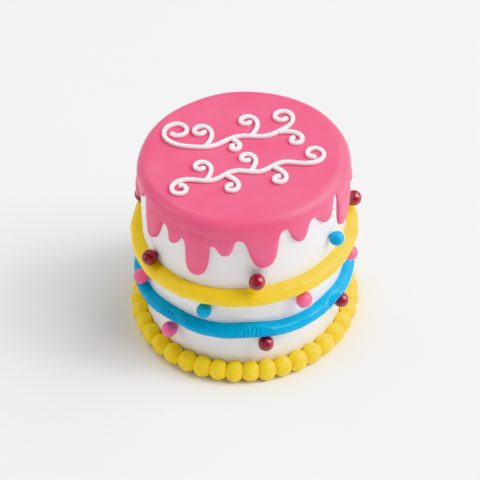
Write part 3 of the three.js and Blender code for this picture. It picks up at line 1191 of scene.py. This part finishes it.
@dataclass
class Rope:
    """A rope of rolled fondant wrapped round the side and pressed on."""

    name: str
    node: str
    finish: Finish
    cake: CoveredCake
    scatter: PearlScatter
    centre_radius: float
    half_depth: float
    half_height: float
    height: float
    sway: tuple[float, float, float, float]     # by the angle's cos, sin, cos 2 and sin 2
    mark_lift: float = 0.0      # how far the tool pushes the rope up
    marks: tuple[float, ...] = ()       # where a tool was pressed in, degrees
    smoothed: tuple[float, ...] = ()    # the marks that were rubbed out again
    mark_spread: float = 13.0   # degrees
    tool: ShellTool = ShellTool()
    dents: tuple[Dent, ...] = ()
    ripple: Ripple = Ripple(depth=0.1, length=8.0, seed=3)
    slow_ripple: Ripple = Ripple(depth=0.15, length=30.0, seed=4)
    squareness: float = 2.3     # 2 is an ellipse
    around: int = 64            # points round its section
    step: float = 0.75          # degrees between sections
    fine_step: float = 0.2      # degrees, across a shell-tool mark
    mark_reach: float = 19.0    # degrees, from a mark's middle
    low_face: tuple[float, float] = (0.78, 0.97)    # where its tooled face fades in, as shares of
    high_face: tuple[float, float] = (-0.2, 0.2)    # its half depth, below and above its middle
    pearl_room: float = 0.05

    def stations(self) -> np.ndarray:
        """Places the rope's sections, closer together across its marks.

        Returns:
            The angle of each section, degrees.
        """
        degrees = [-180.0]
        while degrees[-1] < 180.0 - self.step:
            fine = any(abs(turned_from(degrees[-1], mark)) < self.mark_reach for mark in self.marks)
            degrees.append(degrees[-1] + (self.fine_step if fine else self.step))
        return np.array(degrees)

    def lift(self, degrees: np.ndarray) -> np.ndarray:
        """Gives how far the rope wanders up from its height.

        Args:
            degrees: Angles round the cake.

        Returns:
            The lift, mm.
        """
        angle = np.radians(degrees)
        cos1, sin1, cos2, sin2 = self.sway
        sway = cos1 * np.cos(angle) + sin1 * np.sin(angle)
        sway += cos2 * np.cos(2 * angle) + sin2 * np.sin(2 * angle)
        marks = np.zeros_like(degrees)
        for mark in self.marks:
            marks = np.maximum(marks, np.exp(-((turned_from(degrees, mark) / self.mark_spread) ** 2)))
        return sway + self.mark_lift * marks

    def relief(self, degrees: np.ndarray, up: np.ndarray) -> np.ndarray:
        """Gives how deep the rope's face is pressed in by fingers and tools.

        Args:
            degrees: Angles round the cake.
            up: Heights up the rope's face, from its outermost line, mm.

        Returns:
            The depth, mm.
        """
        radius = self.centre_radius + self.half_depth
        pressed = np.zeros(np.broadcast(degrees, up).shape)
        for mark in self.marks:
            if mark not in self.smoothed:
                pressed += self.tool.depth(np.radians(turned_from(degrees, mark)) * radius, up)
        for dent in self.dents:
            along = np.radians(turned_from(degrees, dent.degrees)) * radius
            reach = np.hypot(along, up - dent.up) / dent.width
            pressed += dent.depth * np.exp(-(reach**2))
        return pressed

    def build(self) -> None:
        """Makes the rope, pressed flat along the wall and dented by the pearls."""
        degrees = self.stations()[:, None]
        turn = np.linspace(-math.pi, math.pi, self.around, endpoint=False)[None, :]
        out, up = rounded_section(turn, self.squareness)
        middle = on_side(degrees, self.centre_radius, self.height)
        thick = 1.0 + self.slow_ripple.at(middle) / self.half_height
        low, high = (smooth_step(*fade, out) for fade in (self.low_face, self.high_face))
        face = np.where(turn < 0.0, low, high)
        pressed = face * self.relief(degrees, turn * (self.half_depth + self.half_height) / 2.0)
        reach = self.half_depth * out * thick
        rise = self.half_height * up * thick
        shrink = 1.0 - pressed / np.hypot(reach, rise)
        height = self.height + self.lift(degrees)
        points = on_side(degrees, self.centre_radius + reach * shrink, height + rise * shrink)
        from_middle = points - on_side(degrees, self.centre_radius, height)
        points += from_middle / self.half_height * self.ripple.at(points)[..., None]
        points = self.cake.press_on(self.make_room(points.reshape(-1, 3)))
        faces = grid_faces(degrees.size, self.around, ring=True)
        make_piece(self.name, points, faces, self.finish, (self.node,))

    def make_room(self, points: np.ndarray) -> np.ndarray:
        """Presses the rope round the pearls.

        Args:
            points: Rows of x, y and z, mm.

        Returns:
            The moved rows.
        """
        for pearl in self.scatter.pearls:
            centre = pearl.centre(self.scatter.wall_radius)
            away = points - centre
            distance = np.linalg.norm(away, axis=1)
            room = pearl.radius + self.pearl_room
            inside = distance < room
            points[inside] = centre + away[inside] * (room / distance[inside])[:, None]
        return points


# ---------- beads ----------


@dataclass
class BeadBorder:
    """The border of fondant balls round the foot, pressed into each other and against the wall."""

    cake: CoveredCake
    count: int = 40
    first: float = 1.35         # middle of one bead, degrees
    crowding: float = 1.4       # how far beads drift together and apart, degrees
    crowding_waves: int = 3     # how many times they do so round the ring
    ring_radius: float = 54.2
    half_depth: float = 4.61
    half_height: float = 5.62
    pressed: float = 0.63       # how far a ball's swelling is squeezed in where two meet
    rest_flat: float = 0.4      # flattened where it stands
    unevenness: float = 0.04    # of their girth, as a share
    uneven_turn: float = 12.9898        # two numbers that give each bead's share of it
    uneven_scale: float = 43758.5453
    offset: tuple[float, float] = (0.3, 0.4)        # the ring's middle
    foot_sharpness: float = 6.0     # how sharply a bead's foot turns flat
    squareness: float = 2.08    # 2 is a ball
    across: int = 26            # rings to a bead
    around: int = 44
    ripple: Ripple = Ripple(depth=0.08, length=6.0, seed=21)

    def uneven(self, index: int) -> float:
        """Gives a repeatable value from -1 to 1 for a bead, from a large number's last digits."""
        wave = math.sin(index * self.uneven_turn) * self.uneven_scale
        return 2.0 * (wave - math.floor(wave)) - 1.0

    def crease(self, index: int) -> float:
        """Gives the angle of the crease before a bead."""
        even = self.first + 360.0 / self.count * (index - 0.5)
        return even - self.crowding * math.sin(math.radians(self.crowding_waves * even))

    def bead(self, index: int) -> np.ndarray:
        """Shapes one bead: a ball squashed by its neighbours, the wall and what it stands on.

        Args:
            index: The bead's number.

        Returns:
            Rings of x, y and z, mm, from the crease before it up to the one after.
        """
        low, high = self.crease(index), self.crease(index + 1)
        lean = np.linspace(-0.5, 0.5, self.across, endpoint=False)[:, None] * math.pi
        turn = np.linspace(0.0, 2.0 * math.pi, self.around, endpoint=False)[None, :]
        cross = np.sin(lean)
        girth = np.sqrt(1.0 - self.pressed * cross**2)
        girth = girth * (1.0 + self.unevenness * self.uneven(index) * (1.0 - cross**4))
        out, up = rounded_section(turn, self.squareness)
        out, up = self.half_depth * girth * out, self.half_height * girth * up
        rest = self.half_height - self.rest_flat
        below = np.clip(-up / rest, 0.0, None)
        squat = (1.0 + below**self.foot_sharpness) ** (-1.0 / self.foot_sharpness)
        degrees = (low + high) / 2.0 + cross * (high - low) / 2.0
        points = on_side(degrees, self.ring_radius + out, rest + up * squat)
        middle = on_side(degrees, self.ring_radius, rest)
        points += (points - middle) / self.half_height * self.ripple.at(points)[..., None]
        points += np.array([*self.offset, 0.0])
        points[..., 2] = np.maximum(points[..., 2], 0.0)
        return self.cake.press_on(points).reshape(-1, 3)

    def build(self) -> None:
        """Makes the whole border as one piece."""
        points = np.vstack([self.bead(index) for index in range(self.count)])
        faces = grid_faces(self.count * self.across, self.around, ring=True)
        make_piece("foot_beads", points, faces, YELLOW_FONDANT, ("bead_border",))


# ---------- scrollwork ----------


class Side(Enum):
    """The side of a stem that a tendril leaves, as the sign of its turn."""

    LEFT = 1
    RIGHT = -1


@dataclass(frozen=True)
class Curl:
    """A curl's length, mm, and how far it turns, degrees."""

    length: float
    turn: float


@dataclass(frozen=True)
class Tendril:
    """A curl that leaves a stem at a share of its length, at a branching angle."""

    at: float
    side: Side
    curl: Curl
    branch: float


@dataclass
class Vine:
    """A row of piped scrollwork: a waving stem that ends in curls, with tendrils."""

    name: str
    node: str
    start: tuple[float, float]
    tilt: float
    length: float
    waves: float
    tail: Curl
    tip: Curl
    tendrils: tuple[Tendril, ...]
    swing: float = -1.8         # how far the stem's first wave goes to its left
    stem_spread: float = 0.9    # how unevenly the curls at the stem's ends bend
    tendril_spread: float = 1.3
    cap_top: float = 100.1
    half_width: float = 1.15
    half_height: float = 1.1
    middle: float = 0.9         # the stroke's middle above the cap
    squareness: float = 2.6     # of its section; 2 is an ellipse
    ridge: float = 0.02         # the nozzle's drag lines, as a share of its size
    ridges: int = 6
    around: int = 30
    curl_points: int = 400
    stem_points: int = 200
    step: float = 0.35          # between the stroke's sections, mm
    end_turns: tuple[float, float] = (0.25, 1.4)    # from the first ring to the last of a round end
    end_rings: int = 5
    swell: float = 0.06         # how unevenly it was squeezed out
    swell_length: float = 11.0
    blob: float = 0.14          # swelling where the squeezing stops
    blob_length: float = 2.5

    def curl(self, start: np.ndarray, heading: float, curl: Curl, spread: float) -> np.ndarray:
        """Draws a curl that bends ever more tightly until it has turned fully.

        Args:
            start: Its first point, x and y.
            heading: Its direction there, radians.
            curl: Its length and turn.
            spread: How unevenly it bends: 0 gives an arc.

        Returns:
            Rows of x and y.
        """
        count = self.curl_points
        share = (np.arange(count) + 0.5) / count
        bend = math.radians(curl.turn) * (spread + 1.0) / curl.length
        angles = heading + np.cumsum(bend * share**spread * curl.length / count)
        strides = np.stack([np.cos(angles), np.sin(angles)], axis=-1) * curl.length / count
        return np.vstack([start, start + np.cumsum(strides, axis=0)])

    def stem(self, share: float) -> tuple[np.ndarray, float]:
        """Gives a place on the stem.

        Args:
            share: The share of the stem's length.

        Returns:
            Its x and y, and the stem's heading there in radians.
        """
        phase = 2.0 * math.pi * self.waves
        along = share * self.length
        across = self.swing * math.sin(phase * share)
        slope = self.swing * phase / self.length * math.cos(phase * share)
        tilt = math.radians(self.tilt)
        turned = np.array([[math.cos(tilt), -math.sin(tilt)], [math.sin(tilt), math.cos(tilt)]])
        return np.array(self.start) + turned @ np.array([along, across]), tilt + math.atan(slope)

    def strokes(self) -> list[np.ndarray]:
        """Draws the stem with its end curls, then each tendril.

        Returns:
            Rows of x and y for each stroke, mm.
        """
        root, heading = self.stem(0.0)
        tail = self.curl(root, heading + math.pi, self.tail, self.stem_spread)
        tip = self.curl(*self.stem(1.0), self.tip, self.stem_spread)
        shares = np.linspace(0.0, 1.0, self.stem_points)[1:-1]
        middle = np.array([self.stem(share)[0] for share in shares])
        strokes = [np.vstack([tail[::-1], middle, tip])]
        for tendril in self.tendrils:
            sign = tendril.side.value
            heading = math.radians(self.tilt + tendril.branch * sign)
            curl = Curl(tendril.curl.length, tendril.curl.turn * sign)
            strokes.append(self.curl(self.stem(tendril.at)[0], heading, curl, self.tendril_spread))
        return strokes

    def girth(self, places: np.ndarray, total: float, seed: int) -> np.ndarray:
        """Gives how stout a stroke is: round at its ends, and uneven as it was squeezed out.

        Args:
            places: How far along the stroke, mm.
            total: The stroke's length, mm.
            seed: Of its unevenness.

        Returns:
            The stroke's size at each place, as a share of its full one.
        """
        from_end = np.minimum(places, total - places)
        inside = np.clip(from_end / self.half_width, 0.0, 1.0)
        waves = Ripple(self.swell, self.swell_length, seed).at(on_side(0.0, places, 0.0))
        blob = self.blob * np.exp(-((from_end / self.blob_length) ** 2))
        return np.sqrt(1.0 - (1.0 - inside) ** 2) * (1.0 + waves + blob)

    def pipe(self, path: np.ndarray, seed: int) -> np.ndarray:
        """Pipes icing along a path, with round ends.

        Args:
            path: Rows of x and y.
            seed: Of the stroke's unevenness.

        Returns:
            Rows of x, y and z: the rings along it, then its two ends.
        """
        along = distances(path)
        total = along[-1]
        body = np.linspace(self.half_width, total - self.half_width, round(total / self.step))
        ends = self.half_width * (1.0 - np.cos(np.linspace(*self.end_turns, self.end_rings)))
        places = np.concatenate([ends, body, total - ends[::-1]])
        line = read_path(path, along, places)
        heading = np.gradient(line, axis=0)
        heading /= np.linalg.norm(heading, axis=1, keepdims=True)
        girth = self.girth(places, total, seed)[:, None]
        turn = np.linspace(0.0, 2.0 * math.pi, self.around, endpoint=False)
        drag = 1.0 + self.ridge * (np.cos(self.ridges * turn) - 1.0)
        side, rise = (part * drag for part in rounded_section(turn, self.squareness))
        across = self.half_width * girth * side
        up = self.cap_top + (self.middle + self.half_height * rise) * np.minimum(girth, 1.0)
        x = line[:, :1] - heading[:, 1:] * across
        y = line[:, 1:] + heading[:, :1] * across
        rings = np.stack([x, y, up], axis=-1).reshape(-1, 3)
        tips = np.column_stack([path[[0, -1]], np.full(2, self.cap_top)])
        return np.vstack([rings, tips])

    def build(self) -> None:
        """Makes the vine as one piece of crossing strokes."""
        points, faces, made = [], [], 0
        for seed, path in enumerate(self.strokes()):
            stroke = self.pipe(path, seed)
            rows = (len(stroke) - 2) // self.around
            faces += [tuple(k + made for k in face) for face in capped_faces(rows, self.around)]
            points.append(stroke)
            made += len(stroke)
        make_piece(self.name, np.vstack(points), faces, WHITE_ICING, (self.node,))


# ---------- studio ----------


@dataclass
class Softbox:
    """A square soft light: where it stands, its strength, its size and what it aims at."""

    name: str
    azimuth: float              # degrees round the cake from the front, towards +X
    elevation: float
    watts: float
    distance: float = 2.2       # metres
    size: float = 1.2           # metres
    aim: float = 0.05           # metres above the base

    def build(self) -> None:
        """Makes the light, aimed at the cake's middle."""
        light = bpy.data.lights.new(self.name, "AREA")
        light.shape = "SQUARE"
        light.size = self.size
        light.energy = self.watts
        lamp = bpy.data.objects.new(self.name, light)
        lamp.visible_camera = False
        rise = math.radians(self.elevation)
        out = Vector(on_side(self.azimuth, math.cos(rise), math.sin(rise)).tolist())
        lamp.location = Vector((0.0, 0.0, self.aim)) + out * self.distance
        lamp.rotation_euler = out.to_track_quat("Z", "Y").to_euler()
        bpy.context.scene.collection.objects.link(lamp)
        log.info("%s: %.0f W", self.name, self.watts)


@dataclass
class Studio:
    """The pale floor, the soft light all round and the camera."""

    floor_size: float = 8.0     # metres
    sky: str = "ffffff"
    sky_strength: float = 0.1
    lights: tuple[Softbox, ...] = (
        Softbox("key softbox", 90.0, 38.0, 26.3),
        Softbox("right front softbox", 68.0, 38.0, 10.0),
        Softbox("overhead softbox", 75.0, 62.0, 16.7),
        Softbox("low right fill", 90.0, 15.0, 8.3),
        Softbox("back right softbox", 135.0, 38.0, 11.3),
        Softbox("front fill", -20.0, 28.0, 5.8),
        Softbox("left fill", -85.0, 20.0, 11.8),
        Softbox("back left fill", -135.0, 15.0, 3.6),
        Softbox("high back fill", -135.0, 58.0, 11.0),
    )
    # The camera looks down on the cake from the front, through a long lens.
    sensor: float = 36.0        # mm wide
    lens: float = 122.3         # mm
    camera_elevation: float = 43.12
    camera_roll: float = -2.5
    camera_distance: float = 849.3      # mm from its target
    camera_target: tuple[float, float, float] = (-0.74, 22.0, 23.5)

    def build(self) -> None:
        """Makes the floor, the lights, the world and the camera."""
        self.build_floor()
        self.build_world()
        for light in self.lights:
            light.build()
        self.build_camera()

    def build_floor(self) -> None:
        """Lays the floor that the cake stands on."""
        half = self.floor_size / 2.0
        mesh = bpy.data.meshes.new("floor")
        corners = [(-half, -half, 0.0), (half, -half, 0.0), (half, half, 0.0), (-half, half, 0.0)]
        mesh.from_pydata(corners, [], [(0, 1, 2, 3)])
        mesh.materials.append(STUDIO_PAPER.material())
        floor = bpy.data.objects.new("floor", mesh)
        bpy.context.scene.collection.objects.link(floor)

    def build_world(self) -> None:
        """Surrounds the cake with an even white glow."""
        world = bpy.data.worlds.new("white studio")
        world.use_nodes = True
        glow = world.node_tree.nodes["Background"]
        glow.inputs["Color"].default_value = linear(self.sky)
        glow.inputs["Strength"].default_value = self.sky_strength
        bpy.context.scene.world = world

    def build_camera(self) -> None:
        """Places the camera and makes it the scene's."""
        data = bpy.data.cameras.new("camera")
        data.sensor_width = self.sensor
        data.lens = self.lens
        camera = bpy.data.objects.new("camera", data)
        tip = Matrix.Rotation(math.radians(90.0 - self.camera_elevation), 4, "X")
        roll = Matrix.Rotation(math.radians(self.camera_roll), 4, "Z")
        back = tip @ Vector((0.0, 0.0, self.camera_distance))
        target = Vector(self.camera_target)
        camera.matrix_world = Matrix.Translation((target + back) * MM) @ tip @ roll
        bpy.context.scene.collection.objects.link(camera)
        bpy.context.scene.camera = camera


# ---------- the cake ----------


def ropes(cake: CoveredCake, scatter: PearlScatter) -> tuple[Rope, Rope]:
    """Describes the two ropes.

    Args:
        cake: The cake that they are wrapped round.
        scatter: The pearls that press into them.

    Returns:
        The yellow rope and the blue rope.
    """
    yellow = Rope(
        "yellow_fondant_rope", "yellow_rope", YELLOW_FONDANT, cake, scatter,
        centre_radius=52.1, half_depth=4.7, half_height=4.15, height=54.0,
        sway=(0.8, 0.9, 0.0, 0.6),
        dents=(
            Dent(-82.0, -1.5, 5.0, 0.5),
            Dent(-40.0, 1.0, 4.5, 0.25),
            Dent(24.0, 1.5, 4.0, 0.3),
            Dent(58.0, -0.5, 5.0, 0.3),
            Dent(120.0, 0.5, 5.0, 0.4),
            Dent(-150.0, -0.5, 5.5, 0.4),
        ),
    )
    blue = Rope(
        "blue_fondant_rope", "blue_rope", BLUE_FONDANT, cake, scatter,
        centre_radius=51.9, half_depth=4.2, half_height=3.4, height=30.6,
        sway=(0.2, 2.1, 0.6, -1.5), mark_lift=1.4,
        marks=(-156.0, -100.0, -44.0, 2.0, 51.0, 101.0, 153.0), smoothed=(-100.0,),
        dents=(
            Dent(-66.0, 0.5, 4.0, 0.3),
            Dent(-20.0, 0.0, 5.0, 0.25),
            Dent(27.0, 0.5, 4.5, 0.3),
        ),
        ripple=Ripple(depth=0.07, length=10.0, seed=5),
    )
    return yellow, blue


def vines() -> tuple[Vine, Vine]:
    """Describes the two rows of scrollwork.

    Returns:
        The upper row and the lower row.
    """
    upper = Vine(
        "piped_scroll_upper", "scroll_upper", start=(-23.0, 4.5), tilt=13.0, length=42.0, waves=1.5,
        tail=Curl(50.0, -420.0), tip=Curl(35.0, 400.0),
        tendrils=(
            Tendril(0.10, Side.LEFT, Curl(33.0, 400.0), 48.0),
            Tendril(0.42, Side.RIGHT, Curl(17.0, 350.0), 50.0),
            Tendril(0.66, Side.LEFT, Curl(31.0, 390.0), 48.0),
            Tendril(0.97, Side.RIGHT, Curl(27.0, 370.0), 12.0),
        ),
    )
    lower = Vine(
        "piped_scroll_lower", "scroll_lower", start=(-22.0, -20.0), tilt=12.0, length=47.0, waves=2.0,
        tail=Curl(32.0, 400.0), tip=Curl(36.0, 400.0),
        tendrils=(
            Tendril(0.07, Side.LEFT, Curl(28.0, 380.0), 52.0),
            Tendril(0.27, Side.RIGHT, Curl(24.0, 370.0), 45.0),
            Tendril(0.53, Side.LEFT, Curl(26.0, 380.0), 48.0),
            Tendril(0.76, Side.RIGHT, Curl(24.0, 370.0), 45.0),
        ),
    )
    return upper, lower


def main() -> None:
    """Builds the studio and every piece of the cake, in order."""
    logging.basicConfig(level=logging.INFO, format="%(message)s")
    bpy.context.scene.view_settings.view_transform = "Khronos PBR Neutral"
    Studio().build()
    cake = CoveredCake()
    scatter = PearlScatter()
    cake.build()
    DripCap(cake).build()
    for rope in ropes(cake, scatter):
        rope.build()
    BeadBorder(cake).build()
    scatter.build()
    for vine in vines():
        vine.build()


if __name__ == "__main__":
    main()
